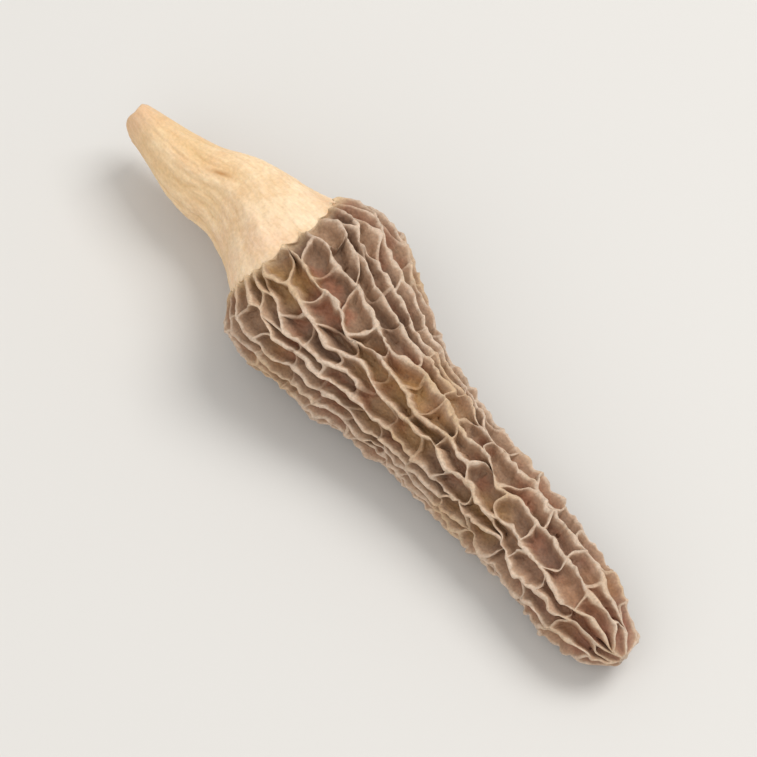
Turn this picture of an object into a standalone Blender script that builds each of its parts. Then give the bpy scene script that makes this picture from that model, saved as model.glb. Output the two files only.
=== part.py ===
"""A dried morel mushroom lying on its side: a brown cap with a raised net, and a cream stem.

The mushroom lies along X with the tip of its cap at +X. Its skin is one loft, given below in
millimetres from the plane where the stem meets the cap. On the cap the skin is the floor of
the pits, and the net of ridges stands up from it. Underneath, the ridges are pressed flat.
"""
import math
from collections import defaultdict

import bpy
import numpy as np
from mathutils import Vector
from mathutils.geometry import delaunay_2d_cdt

MM = 0.001

# Stations of the skin, in mm: place along, half width, half height, middle across, middle up
STATIONS = np.array((
    (-21.0, 1.5, 2.9, -1.3, 5.4),  # the pinched cut end of the stem
    (-12.0, 3.5, 3.8, -0.5, 6.0),
    (-7.5, 4.3, 4.3, 0.9, 6.4),
    (-3.5, 5.3, 5.0, 0.8, 6.8),
    (0.0, 6.7, 5.7, 0.4, 7.0),  # where the stem meets the cap
    (5.0, 8.2, 6.3, 0.1, 7.1),  # the widest part of the cap
    (11.0, 6.8, 5.5, -0.2, 6.4),
    (18.0, 5.0, 4.4, -0.1, 5.5),
    (29.0, 3.7, 3.4, 0.2, 4.5),
    (42.0, 2.9, 2.7, 0.2, 3.8),
    (50.0, 2.8, 2.6, -0.3, 3.7),
))
STEM_END = -21.0
TIP = 50.0
ROUNDING_START = 42.5  # from here the skin rounds off to the tip
ROUNDING_POWER = 2.3
CENTRE = (15.0, 0.26)  # of the bounding box, along and across

# Uneven skin, in waves: height in mm, waves round, radians per mm along, start
DENTS = ((0.22, 2, 0.16, 0.6), (0.17, 3, -0.21, 2.0))
FLUTES = ((0.17, 7, 0.12, 0.4), (0.12, 12, -0.1, 2.1))
SWELLING = (0.7, 14.0, 3.6)  # one raised spot on the cap: height, place along, angle
SWELLING_SIZE = (2.2, 0.5)  # mm along, radians round

# The cap's lower margin and its net of ridges
MARGIN_PLACE = -0.8  # along, halfway up its two sides
MARGIN_LEAN = 3.0  # on the upper side the cream stem reaches this much further
MARGIN_TILT = 1.2  # and on the side at +Y this much less far
MARGIN_MIDDLE = MARGIN_PLACE + MARGIN_LEAN / 2
MARGIN_HEIGHT = 0.2  # over the stem
LEAN_REACH = 16.0  # how far up the cap the net follows the lean
CREST_HEIGHT = 1.45
CREST_HALF_WIDTH = 0.27
CREST_UNEVENNESS = (0.86, 1.1)
WALL_RUN = 0.32  # how far a ridge's side leans in from crest to floor
RUNG_DIP = 0.4  # share by which a rung across a lane dips below the ridges
TRUNKS = 6  # lanes at the tip
TRUNK_UNEVENNESS = 0.15  # of the edges between them, as a share of their width
FORKS = ((47.5, 50.0), (16.0, 34.0), (-0.4, 0.6))  # where the lanes fork, and end at the margin
FORK_SHARE = (0.42, 0.58)
RUNG_SPACING = (3.4, 3.9)  # near the margin and near the tip
LENGTHWISE_STRETCH = 2.5
WANDER = (0.08, 0.2)  # of a pit's middle, as shares of its width and length
SWAY = (  # of the ridges sideways, in radians, else as above
    (0.045, 3, 0.62, 0.0),
    (0.03, -2, 1.25, 1.0),
    (0.022, 7, 0.8, 2.0),
    (0.018, -11, 0.45, 4.0),
)
SAME_ANGLE = 1e-9  # to which the edges of two lanes agree where they are one
SHORTEST_SIDE = 0.3  # of a pit, in mm
STEP_SLANT = 0.02  # radians by which each end of a step in the margin moves into its own lane
NET_SEED = 11

# The stem
STEM_COLUMNS = 48
STEM_ROWS = 15
ROWS_BELOW_MARGIN = 3.0  # from the last plain row of points to the margin
GAP = 0.35  # between stem and cap
MOUTH_DEPTH = 5.0
STEM_WALL = 0.75
RAGGED = ((0.3, 3, 0, 2.6), (0.2, 5, 0, 3.6))  # of the cut end, as the waves above

CAP_BROWN = (0.33, 0.20, 0.12)
STEM_CREAM = (0.83, 0.62, 0.33)


def profile(column, x):
    """A smooth curve through one column of the stations, taken at x."""
    places = STATIONS[:, 0]
    values = STATIONS[:, column]
    slopes = np.gradient(values, places)
    i = np.clip(np.searchsorted(places, x, side="right") - 1, 0, len(places) - 2)
    step = places[i + 1] - places[i]
    t = (x - places[i]) / step
    bend = (t ** 3 - 2 * t ** 2 + t) * slopes[i] + (t ** 3 - t ** 2) * slopes[i + 1]
    return values[i] + (values[i + 1] - values[i]) * (3 * t ** 2 - 2 * t ** 3) + step * bend


def waves(terms, u, x):
    """A sum of waves over the skin at the angle u and x mm along."""
    return sum(size * np.sin(around * u + along * x + start) for size, around, along, start in terms)


def unevenness(u, x):
    """Height of the skin's slow dents and its one swelling."""
    height, place, turn = SWELLING
    off = ((x - place) / SWELLING_SIZE[0]) ** 2 + (2 * np.sin((u - turn) / 2) / SWELLING_SIZE[1]) ** 2
    fade = np.clip((x - STEM_END) / 12, 0.15, 1) * np.clip((TIP - x) / 6, 0, 1)
    return waves(DENTS, u, x) * fade + height * np.exp(-off)


def tip_rounding(x):
    """Share of the way into the rounded tip, and share of the skin's width left there."""
    q = np.clip((x - ROUNDING_START) / (TIP - ROUNDING_START), 0, 1)
    return q, np.sqrt(1 - q ** ROUNDING_POWER)


def skin_point(u, x, height=0.0):
    """A point over the skin at the angle u round the axis and x mm along, raised by height mm."""
    q, share = tip_rounding(x)
    lift = (height + unevenness(u, x)) * np.sqrt(1 - q ** 4)
    across = profile(3, x) + (profile(1, x) * share + lift) * np.cos(u)
    up = profile(4, x) + (profile(2, x) * share + lift) * np.sin(u)
    along = x + height * q ** 2
    return Vector((along - CENTRE[0], across - CENTRE[1], max(up, 0.0))) * MM


def axis_point(x):
    """A point on the mushroom's own axis."""
    return Vector((x - CENTRE[0], profile(3, x) - CENTRE[1], profile(4, x))) * MM


def margin(u):
    """Place along of the cap's lower margin."""
    return MARGIN_PLACE + MARGIN_LEAN * np.clip(np.sin(u), -0.2, 1) - MARGIN_TILT * np.cos(u)


class Strip:
    """The cap's skin unrolled, so that a pit of the net is about as long as it is wide.

    Across the strip runs the angle u. Along it runs v, which grows with the length along the
    skin, divided by the radius there and by the lengthwise stretch. An even pattern on the
    strip becomes one of long pits that shrink with the cap.
    """

    def __init__(self):
        t = np.linspace(0, 1, 900)
        self.x = TIP - (TIP + 8) * (1 - t) ** 2
        q, share = tip_rounding(self.x)
        skin_radius = (profile(1, self.x) + profile(2, self.x)) / 2 * share
        self.radius = skin_radius + CREST_HEIGHT / 2 * np.sqrt(1 - q ** 4)
        steps = np.hypot(np.diff(self.x), np.diff(self.radius))
        self.length = np.concatenate(([0], np.cumsum(steps)))
        self.length -= np.interp(0, self.x, self.length)
        self.scale = LENGTHWISE_STRETCH * np.hypot(self.radius, 1.5)
        rates = 1 / self.scale
        self.v = np.concatenate(([0], np.cumsum(steps * (rates[1:] + rates[:-1]) / 2)))
        self.end = self.length[-1]

    def v_at_length(self, length):
        beyond = np.maximum(length - self.end, 0) / self.scale[-1]
        return float(np.interp(length, self.length, self.v) + beyond)

    def length_at_v(self, v):
        return float(np.interp(v, self.v, self.length))

    def x_at_v(self, v):
        """Place along at v, kept just short of the tip."""
        return float(np.interp(min(v, self.v[-1] - 0.25 / self.scale[-1]), self.v, self.x))

    def mm_per_unit(self, v):
        """Millimetres to a unit across and along the strip at v."""
        return np.interp(v, self.v, self.radius), np.interp(v, self.v, self.scale)

    def moved(self, point, goal, distance, limit):
        """A point of the strip moved a distance in mm, or a share of the way, towards a goal."""
        across, along = self.mm_per_unit(goal[1])
        away = math.hypot((goal[0] - point[0]) * across, (goal[1] - point[1]) * along)
        share = min(distance / away, limit)
        return point[0] + (goal[0] - point[0]) * share, point[1] + (goal[1] - point[1]) * share


def pit_centres(strip):
    """Middles of the pits on the strip, which of them are real, and the lane of each.

    The pits lie in lanes between long ridges, and a lane is given by the angles of its two
    edges. It forks on its way down from the tip, twice in all, and short rungs divide it into
    pits. The pits that aren't real lie past the margin and the tip, where they only bound the
    others.
    """
    draw = np.random.default_rng(NET_SEED)
    centres = []
    real = []
    lanes = []

    def add(lane, u, v, is_real):
        centres.append((float(u) % math.tau, v))
        real.append(is_real)
        lanes.append(lane)

    def fill(lane, top, level):
        bottom = draw.uniform(*FORKS[level])
        step = np.interp((top + bottom) / 2, (0, strip.end), RUNG_SPACING)
        count = max(1, round((top - bottom) / step))
        step = (top - bottom) / count
        for k in range(count):
            aside, ahead = draw.uniform(-1, 1, 2) * WANDER
            turn = lane[0] + (lane[1] - lane[0]) * (0.5 + aside)
            length = top - (k + 0.5 + ahead) * step
            place = length + margin(turn) * np.clip(1 - length / LEAN_REACH, 0, 1)
            add(lane, turn + waves(SWAY, turn, place), strip.v_at_length(place), True)
        if level + 1 < len(FORKS):
            between = lane[0] + (lane[1] - lane[0]) * draw.uniform(*FORK_SHARE)
            fill((lane[0], between), bottom, level + 1)
            fill((between, lane[1]), bottom, level + 1)
        else:
            u, v = centres[-1]
            edge = strip.v_at_length(bottom + margin(sum(lane) / 2))
            add(lane, u, 2 * edge - v, False)

    uneven = draw.uniform(-TRUNK_UNEVENNESS, TRUNK_UNEVENNESS, TRUNKS)
    edges = [float(edge) for edge in (np.arange(TRUNKS) + uneven) * math.tau / TRUNKS]
    for lane in zip(edges, edges[1:] + [edges[0] + math.tau]):
        fill(lane, strip.end - draw.uniform(0.4, 1.2), 0)
        add(lane, sum(lane) / 2, strip.v_at_length(strip.end + 1.4), False)
    return centres, real, lanes


def circle_centre(a, b, c):
    """The point as far from a as from b and c."""
    bx, by = b[0] - a[0], b[1] - a[1]
    cx, cy = c[0] - a[0], c[1] - a[1]
    area = 2 * (bx * cy - by * cx)
    b2 = bx * bx + by * by
    c2 = cx * cx + cy * cy
    return a[0] + (cy * b2 - by * c2) / area, a[1] + (bx * c2 - cx * b2) / area


def divide_strip(centres):
    """Divide the strip round its pit centres, joined to itself at u = 0 and u = 2 pi.

    Returns for each pit its corners in turn, as (name, u, v), and for each corner's name the
    three pits that meet there in turn.
    """
    copies = []
    for shift in (-1, 0, 1):
        for pit, (u, v) in enumerate(centres):
            copies.append((pit, shift, u + shift * math.tau, v))
    points = [Vector((u, v)) for pit, shift, u, v in copies]
    around = defaultdict(list)
    meeting = {}
    for face in delaunay_2d_cdt(points, [], [], 0, 1e-7)[2]:
        members = [copies[i] for i in face]
        if all(shift for pit, shift, u, v in members):
            continue
        u, v = circle_centre(*[member[2:] for member in members])
        first = min(members)
        name = tuple(sorted((member[0], member[1] - first[1]) for member in members))
        meeting[name] = [member[0] for member in members]
        for pit, shift, _, _ in members:
            if shift == 0:
                around[pit].append((name, u, v))
    for pit, corners in around.items():
        middle = centres[pit]
        corners.sort(key=lambda corner: math.atan2(corner[2] - middle[1], corner[1] - middle[0]))
    return around, meeting


def is_lengthwise(strip, here, after):
    """Whether the side of a pit from one corner to the next runs along the cap, in mm."""
    across, along = strip.mm_per_unit((here[2] + after[2]) / 2)
    return abs(after[1] - here[1]) * across <= abs(after[2] - here[2]) * along


def line_up(strip, around, meeting, real, lanes):
    """Move each corner between real pits across, onto the long ridge that it is part of, and
    each corner on the margin along, as far as the margin leans between its lane and itself.

    A ridge runs along the edge that two lanes share, and the rungs join it from both sides.
    """
    for corners in around.values():
        for k, (name, u, v) in enumerate(corners):
            length = strip.length_at_v(v)
            pits = meeting[name]
            ridges = {lanes[a][1] for a in pits for b in pits
                      if abs(math.remainder(lanes[a][1] - lanes[b][0], math.tau)) < SAME_ANGLE}
            ended = {lanes[pit] for pit in pits if not real[pit]}
            ending = ended.intersection(lanes[pit] for pit in pits if real[pit])
            if len(ridges) == 1 and not ended:
                ridge = ridges.pop()
                goal = ridge + waves(SWAY, ridge, length)
                corners[k] = (name, u + math.remainder(goal - u, math.tau), v)
            elif ending and length < strip.end / 2:
                middle = sum(ending.pop()) / 2
                u += math.copysign(STEP_SLANT, math.remainder(middle - u, math.tau))
                lean = margin(u) - margin(middle)
                corners[k] = (name, u, strip.v_at_length(length + lean))


def spread(strip, around):
    """Move two corners of a pit that nearly touch apart along the cap."""
    moves = {}
    for corners in around.values():
        for here, after in zip(corners, corners[1:] + corners[:1]):
            across, along = strip.mm_per_unit(here[2])
            side = math.hypot((after[1] - here[1]) * across, (after[2] - here[2]) * along)
            missing = SHORTEST_SIDE - side
            if missing > 0:
                lower, upper = sorted((here, after), key=lambda corner: corner[2])
                moves[lower[0]] = -missing / 2 / along
                moves[upper[0]] = missing / 2 / along
    for pit, corners in around.items():
        around[pit] = [(name, u, v + moves.get(name, 0)) for name, u, v in corners]


def is_rung(key):
    """A rung's middle is named by its two ends, and a corner by the pits that meet there."""
    return isinstance(key, frozenset)


def outline_of(strip, corners):
    """Middle of a pit, and its corners in turn with the middles of its rungs between them."""
    middle = (sum(corner[1] for corner in corners) / len(corners),
              sum(corner[2] for corner in corners) / len(corners))
    outline = []
    for here, after in zip(corners, corners[1:] + corners[:1]):
        outline.append(here)
        if not is_lengthwise(strip, here, after):
            half = ((here[1] + after[1]) / 2, (here[2] + after[2]) / 2)
            outline.append((frozenset((here[0], after[0])), *half))
    return middle, outline


def sides_of(outline):
    """The sides of a pit, each as its corners' names and its points in turn."""
    ring = outline + outline[:2]
    for k, item in enumerate(outline):
        if not is_rung(item[0]):
            points = ring[k:k + 3] if is_rung(ring[k + 1][0]) else ring[k:k + 2]
            yield frozenset((points[0][0], points[-1][0])), points


class Solid:
    """The points and faces of one closed piece."""

    def __init__(self):
        self.points = []
        self.faces = []

    def add(self, position):
        self.points.append(position)
        return len(self.points) - 1

    def close(self, loop, middle):
        """Close a loop of points with a fan to a middle point."""
        for here, after in zip(loop, loop[1:] + loop[:1]):
            self.faces.append((here, after, middle))

    def band(self, outer, inner):
        """Join two rings of as many points, the inner one on the left of the outer one's way."""
        for k in range(len(outer)):
            after = (k + 1) % len(outer)
            self.faces.append((outer[k], outer[after], inner[after], inner[k]))

    def uneven_band(self, lower, lower_turns, upper, upper_turns):
        """Join two rings of different numbers of points, stepping along the one that lags."""
        lower_turns = list(lower_turns) + [lower_turns[0] + math.tau]
        upper_turns = list(upper_turns) + [upper_turns[0] + math.tau]
        i = 0
        j = 0
        while i < len(lower) or j < len(upper):
            a = lower[i % len(lower)]
            b = upper[j % len(upper)]
            if j == len(upper) or (i < len(lower) and lower_turns[i + 1] < upper_turns[j + 1]):
                i += 1
                self.faces.append((a, lower[i % len(lower)], b))
            else:
                j += 1
                self.faces.append((a, upper[j % len(upper)], b))

    def make(self, name, colour, roughness):
        mesh = bpy.data.meshes.new(name)
        mesh.from_pydata(self.points, [], self.faces)
        mesh.shade_smooth()
        mesh.set_sharp_from_angle(angle=math.radians(50))
        material = bpy.data.materials.new(name)
        material.use_nodes = True
        shader = material.node_tree.nodes["Principled BSDF"]
        shader.inputs["Base Color"].default_value = (*colour, 1)
        shader.inputs["Roughness"].default_value = roughness
        shader.inputs["Metallic"].default_value = 0.0
        mesh.materials.append(material)
        piece = bpy.data.objects.new(name, mesh)
        bpy.context.scene.collection.objects.link(piece)


class Cap(Solid):
    """The cap: a cup for each pit, with the crests of the ridges between the cups' rims."""

    def __init__(self):
        super().__init__()
        self.strip = Strip()
        self.centres, self.real, lanes = pit_centres(self.strip)
        self.around, self.meeting = divide_strip(self.centres)
        line_up(self.strip, self.around, self.meeting, self.real, lanes)
        spread(self.strip, self.around)
        draw = np.random.default_rng(NET_SEED + 1)
        self.crest_share = {name: draw.uniform(*CREST_UNEVENNESS) for name in sorted(self.meeting)}
        self.rim = {}  # points of each pit's rim
        self.border = {}  # points of the margin and of the hole left at the tip
        self.next_on_border = {}

    def place(self, u, v, height):
        return self.add(skin_point(u, self.strip.x_at_v(v), height))

    def at_margin(self, corner):
        """Whether a corner lies on the margin, where it bounds a pit that isn't real."""
        half_way = self.strip.v[-1] / 2
        return any(not self.real[pit] and self.centres[pit][1] < half_way
                   for pit in self.meeting[corner])

    def height_at(self, key):
        corners = list(key) if is_rung(key) else [key]
        if all(self.at_margin(corner) for corner in corners):
            return MARGIN_HEIGHT
        share = sum(self.crest_share[corner] for corner in corners) / len(corners)
        return CREST_HEIGHT * share * (1 - RUNG_DIP if is_rung(key) else 1)

    def add_pit(self, pit, middle, outline):
        floor = []
        for key, u, v in outline:
            height = self.height_at(key)
            edge = self.strip.moved((u, v), middle, CREST_HALF_WIDTH, 0.3)
            foot = self.strip.moved((u, v), middle, CREST_HALF_WIDTH + WALL_RUN, 0.7)
            self.rim[pit, key] = self.place(*edge, height)
            floor.append(self.place(*foot, MARGIN_HEIGHT / 2))
        self.band([self.rim[pit, key] for key, u, v in outline], floor)
        self.close(floor, self.place(*middle, -MARGIN_HEIGHT / 2))

    def add_crest(self, pit, points, neighbour):
        """The strip of crest along one side of a pit, to its neighbour or to the border."""
        outer = {}
        for key, u, v in points:
            if neighbour is None and key not in self.border:
                at_margin = self.strip.v_at_length(self.strip.end / 2) > v
                index = self.place(u, v, MARGIN_HEIGHT if at_margin else CREST_HEIGHT)
                self.border[key] = (index, u % math.tau, self.strip.x_at_v(v))
            outer[key] = self.border[key][0] if neighbour is None else self.rim[neighbour, key]
        for (here, _, _), (after, _, _) in zip(points, points[1:]):
            inner = (self.rim[pit, after], self.rim[pit, here])
            self.faces.append((*inner, outer[here], outer[after]))
            if neighbour is None:
                self.next_on_border[here] = after

    def add_junctions(self):
        """The small face where three ridges meet."""
        for corner, pits in self.meeting.items():
            real_pits = sum(self.real[pit] for pit in pits)
            if real_pits < 2:
                continue
            self.faces.append([self.rim[pit, corner] if self.real[pit] else self.border[corner][0]
                               for pit in pits])

    def border_loops(self):
        """The closed loops of the border, the margin first."""
        loops = []
        while self.next_on_border:
            key = next(iter(self.next_on_border))
            loop = []
            while key in self.next_on_border:
                loop.append(self.border[key])
                key = self.next_on_border.pop(key)
            loops.append(loop)
        return sorted(loops, key=lambda loop: loop[0][2])

    def build(self):
        """Build the cap, and return its margin as points (u, x) for the stem to meet."""
        sides = defaultdict(list)
        for pit in range(len(self.centres)):
            if self.real[pit]:
                middle, outline = outline_of(self.strip, self.around[pit])
                self.add_pit(pit, middle, outline)
                for side, points in sides_of(outline):
                    sides[side].append((pit, points))
        for users in sides.values():
            pit, points = users[0]
            self.add_crest(pit, points, users[1][0] if len(users) == 2 else None)
        self.add_junctions()
        bottom, end = self.border_loops()
        self.close([index for index, u, x in reversed(bottom)], self.add(axis_point(MARGIN_MIDDLE)))
        self.close([index for index, u, x in reversed(end)], self.add(skin_point(0, TIP, CREST_HEIGHT)))
        self.make("cap", CAP_BROWN, 0.8)
        return [(u, x) for index, u, x in bottom]


def build_stem(edge):
    """Build the stem from under the cap's margin down to its cut end with the pinched mouth."""
    stem = Solid()
    turns = [math.tau * k / STEM_COLUMNS for k in range(STEM_COLUMNS)]
    cut = [STEM_END + waves(RAGGED, u, 0) for u in turns]

    def ring(places, heights):
        return [stem.add(skin_point(*item)) for item in zip(turns, places, heights)]

    mouth_floor = ring([x + MOUTH_DEPTH for x in cut], [-1.5 * STEM_WALL] * STEM_COLUMNS)
    mouth_edge = ring([x + 0.25 for x in cut], [-STEM_WALL] * STEM_COLUMNS)
    lip = ring(cut, [-0.3 * STEM_WALL] * STEM_COLUMNS)
    stem.close(mouth_floor[::-1], stem.add(axis_point(STEM_END + MOUTH_DEPTH)))
    stem.band(mouth_floor, mouth_edge)
    stem.band(mouth_edge, lip)

    below = lip
    for row in range(STEM_ROWS):
        share = row / (STEM_ROWS - 1)
        starts = [x + 0.3 for x in cut]
        ends = [margin(u) - ROWS_BELOW_MARGIN for u in turns]
        places = [start + (end - start) * share for start, end in zip(starts, ends)]
        above = ring(places, [waves(FLUTES, u, x) for u, x in zip(turns, places)])
        stem.band(below, above)
        below = above

    first = min(range(len(edge)), key=lambda k: edge[k][0])
    edge = edge[first:] + edge[:first]
    gap = Vector((GAP * MM, 0, 0))
    top = [stem.add(skin_point(u, x, MARGIN_HEIGHT) - gap) for u, x in edge]
    stem.uneven_band(below, turns, top, [u for u, x in edge])
    stem.close(top, stem.add(axis_point(MARGIN_MIDDLE) - gap))
    stem.make("stem", STEM_CREAM, 0.85)


for old in list(bpy.data.objects):
    bpy.data.objects.remove(old)
cap_margin = Cap().build()
build_stem(cap_margin)
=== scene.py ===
import math
from collections import defaultdict

import bpy
import numpy as np
from mathutils import Matrix, Vector
from mathutils.geometry import delaunay_2d_cdt


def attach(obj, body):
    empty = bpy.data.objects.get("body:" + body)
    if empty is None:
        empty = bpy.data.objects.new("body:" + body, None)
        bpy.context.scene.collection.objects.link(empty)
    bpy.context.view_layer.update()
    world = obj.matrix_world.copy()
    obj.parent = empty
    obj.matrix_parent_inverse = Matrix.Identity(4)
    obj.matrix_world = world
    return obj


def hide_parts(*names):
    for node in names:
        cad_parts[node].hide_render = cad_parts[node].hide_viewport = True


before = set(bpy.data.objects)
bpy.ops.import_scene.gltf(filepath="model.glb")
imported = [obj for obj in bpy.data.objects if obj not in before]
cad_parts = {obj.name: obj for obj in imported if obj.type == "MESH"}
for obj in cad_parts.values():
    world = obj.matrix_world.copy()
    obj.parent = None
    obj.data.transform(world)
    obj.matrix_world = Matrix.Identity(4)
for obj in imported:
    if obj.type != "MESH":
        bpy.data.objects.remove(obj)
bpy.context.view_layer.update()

# The cap: the upper body of the mushroom, a thin brown skin raised into a net of ridges.
# It dried whole, so the ridges shrank to thin wavy walls with pale edges, and the pits
# between them are darker brown, deepened further by painted shade towards their floors. Long
# ridges run from the margin to the tip and short rungs join them.

# Stations of the skin, in mm: place along, half width, half height, middle across, middle up
STATIONS = np.array((
    (-21.0, 1.5, 2.9, -1.3, 5.4),  # the pinched cut end of the stem
    (-12.0, 3.5, 3.8, -0.5, 6.0),
    (-7.5, 4.3, 4.3, 0.9, 6.4),
    (-3.5, 5.3, 5.0, 0.8, 6.8),
    (0.0, 6.7, 5.7, 0.4, 7.0),  # where the stem meets the cap
    (5.0, 8.2, 6.3, 0.1, 7.1),  # the widest part of the cap
    (11.0, 6.8, 5.5, -0.2, 6.4),
    (18.0, 5.0, 4.4, -0.1, 5.5),
    (29.0, 3.7, 3.4, 0.2, 4.5),
    (42.0, 2.9, 2.7, 0.2, 3.8),
    (50.0, 2.8, 2.6, -0.3, 3.7),
))
STEM_END = -21.0
TIP = 50.0
ROUNDING_START = 42.5  # mm along, where the skin begins to close at the tip
ROUNDING_POWER = 2.3  # how late the tip's width closes
HEIGHT_POWER = 4  # how late the crests' height closes there
PRESSED = 0.02  # mm squared: how softly the underside bends into its flat band
CENTRE = np.array((15.0, 0.26, 0.0))  # the frame's origin, in the stations' own axes
MM = 0.001

# Slow unevenness of the skin, in waves: height in mm, waves round, radians per mm, start
DENTS = ((0.22, 2, 0.16, 0.6), (0.17, 3, -0.21, 2.0))
SWELLING = (0.7, 14.0, 3.6)  # one raised spot: height, place along, angle round
SWELLING_SIZE = (2.2, 0.5)  # mm along, radians round
DENTS_FADE = (12.0, 6.0)  # mm over which the dents die away, to the cut end and to the tip
LEAST_DENTS = 0.15  # share of them that is left at the cut end
WAVE_COUNT = 24  # waves in a random relief


def profile(column, x):
    """A smooth curve through one column of the stations: a cubic between each two stations,
    with the slope at each taken from its neighbours."""
    places = STATIONS[:, 0]
    values = STATIONS[:, column]
    slopes = np.gradient(values, places)
    i = np.clip(np.searchsorted(places, x, side="right") - 1, 0, len(places) - 2)
    step = places[i + 1] - places[i]
    t = (x - places[i]) / step
    bend = (t ** 3 - 2 * t ** 2 + t) * slopes[i] + (t ** 3 - t ** 2) * slopes[i + 1]
    return values[i] + (values[i + 1] - values[i]) * (3 * t ** 2 - 2 * t ** 3) + step * bend


def waves(terms, u, x):
    """A sum of waves over the skin at the angle u and x mm along."""
    return sum(size * np.sin(around * u + along * x + start) for size, around, along, start in terms)


def ripple(u, s, around, along, seed):
    """A random relief of about unit height: the sum of many waves in random directions, each of
    0.6 to 1.2 times so many waves round and so many radians for each unit of s. Each has a whole
    number of waves round, so the relief has no seam."""
    draw = np.random.default_rng(seed)
    turn = draw.uniform(0, math.tau, WAVE_COUNT)
    size = draw.uniform(0.6, 1.2, WAVE_COUNT)
    start = draw.uniform(0, math.tau, WAVE_COUNT)
    terms = zip(np.round(around * size * np.cos(turn)), along * size * np.sin(turn), start)
    return sum(np.sin(a * u + b * s + c) for a, b, c in terms) / math.sqrt(WAVE_COUNT / 2)


def relief(spots, size, seed):
    """A random relief of about unit height at these places, given in mm: the sum of many waves
    in random directions in space, each with 0.7 to 1.3 waves in so many mm."""
    draw = np.random.default_rng(seed)
    ways = draw.normal(size=(3, WAVE_COUNT))
    ways *= math.tau / size * draw.uniform(0.7, 1.3, WAVE_COUNT) / np.linalg.norm(ways, axis=0)
    starts = draw.uniform(0, math.tau, WAVE_COUNT)
    return np.sin(spots @ ways + starts).sum(-1) / math.sqrt(WAVE_COUNT / 2)


def reliefs(spots, terms):
    """A sum of random reliefs at these places, each given as height, size in mm and seed."""
    return sum(height * relief(spots, size, seed) for height, size, seed in terms)


# The stem's wrinkles belong to the skin too, because they run on under the cap's margin.
# Flutes are waves, as above. Long folds and hollows are ripples: height in mm, most waves
# round, most radians per mm, seed. Short folds and grain are reliefs: height, size in mm, seed
FLUTES = ((0.08, 7, 0.12, 0.4), (0.05, 12, -0.1, 2.1))
LONG_FOLDS = ((0.07, 11, 0.4, 41), (0.03, 32, 1.1, 42))
HOLLOWS = (0.1, 4, 0.4, 43)
SHORT_FOLDS = (0.05, 1.8, 44)
STEM_GRAIN = (0.012, 0.6, 45)
DRAWN_OUT = (0.5, 1, 1)  # a short fold is twice as long along the stem as round it
FOLD_LEVEL = 0.12  # mm, the mean height of the folds, which is taken off
FLUTE_REACH = (0.0, 9.0)  # mm along over which the wrinkles die away under the cap
SHRINKING = (10.0, 0.3)  # mm from the cut over which they grow, and their share at the cut

SCAR = (-9.0, 1.86)  # a short brown nick in the stem: place along, angle round
SCAR_SIZE = (0.95, 0.28, 0.09)  # mm along, mm across, mm deep
SCAR_SLANT = 0.15  # mm across for each mm along
STEM_RADIUS = 4.0


def stem_scar(u, x):
    """Depth of the nick, from 0 to 1: a slanted oval that fades outwards."""
    ahead = x - SCAR[0]
    aside = (u - SCAR[1]) * STEM_RADIUS + SCAR_SLANT * ahead
    return np.exp(-(ahead / SCAR_SIZE[0]) ** 2 - (aside / SCAR_SIZE[1]) ** 2)


def stem_wrinkles(u, x):
    """Height of the wrinkles of the stem: flutes and hollows, folds with rounded backs and narrow
    furrows, which are random reliefs taken without their sign, and a fine grain. They shrink
    with the stem towards its cut end."""
    u, x = np.broadcast_arrays(u, x)
    tube = np.stack((x, STEM_RADIUS * np.cos(u), STEM_RADIUS * np.sin(u)), -1)
    folds = sum(height * np.abs(ripple(u, x, *rest)) for height, *rest in LONG_FOLDS)
    folds = folds + SHORT_FOLDS[0] * np.abs(relief(tube * DRAWN_OUT, *SHORT_FOLDS[1:])) - FOLD_LEVEL
    crumple = HOLLOWS[0] * ripple(u, x, *HOLLOWS[1:]) + STEM_GRAIN[0] * relief(tube, *STEM_GRAIN[1:])
    start, end = FLUTE_REACH
    length, least = SHRINKING
    shrink = np.clip((x - STEM_END) / length, least, 1) * np.clip((end - x) / (end - start), 0, 1)
    return (waves(FLUTES, u, x) + folds + crumple) * shrink - SCAR_SIZE[2] * stem_scar(u, x)


def tip_rounding(x):
    """Share of the way into the rounded tip, and the shares of the skin's width and of the
    heights on it that are left there: root of one less a power of that way."""
    q = np.clip((x - ROUNDING_START) / (TIP - ROUNDING_START), 0, 1)
    return q, np.sqrt(1 - q ** ROUNDING_POWER), np.sqrt(1 - q ** HEIGHT_POWER)


def skin(u, x, height):
    """Points over the skin, in metres: an ellipse round the axis at each x, with the half
    width and half height of the stations, shrinking to nothing at the tip, and raised by the
    height, the slow unevenness and the wrinkles. Underneath it is pressed flat."""
    q, share, raised = tip_rounding(x)
    swell, place, turn = SWELLING
    off = ((x - place) / SWELLING_SIZE[0]) ** 2 + (2 * np.sin((u - turn) / 2) / SWELLING_SIZE[1]) ** 2
    fade = np.clip((x - STEM_END) / DENTS_FADE[0], LEAST_DENTS, 1)
    fade = fade * np.clip((TIP - x) / DENTS_FADE[1], 0, 1)
    uneven = waves(DENTS, u, x) * fade + swell * np.exp(-off) + stem_wrinkles(u, x)
    lift = (height + uneven) * raised
    across = profile(3, x) + (profile(1, x) * share + lift) * np.cos(u)
    up = profile(4, x) + (profile(2, x) * share + lift) * np.sin(u)
    up = (up + np.sqrt(up ** 2 + PRESSED)) / 2
    along = x + height * q ** 2
    return (np.stack((along, across, up), -1) - CENTRE) * MM


# The cap's lower margin, in mm along
MARGIN_PLACE = -0.8
MARGIN_LEAN = 3.0  # how much further the stem reaches on the upper side
LEAST_SINE = -0.2  # below it, underneath, the margin stays in one place along
MARGIN_TILT = 1.2  # how much less far it reaches on the side at +Y
MARGIN_MIDDLE = MARGIN_PLACE + MARGIN_LEAN / 2
LEAN_REACH = 16.0  # mm from the margin over which the pits lean with it


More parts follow.
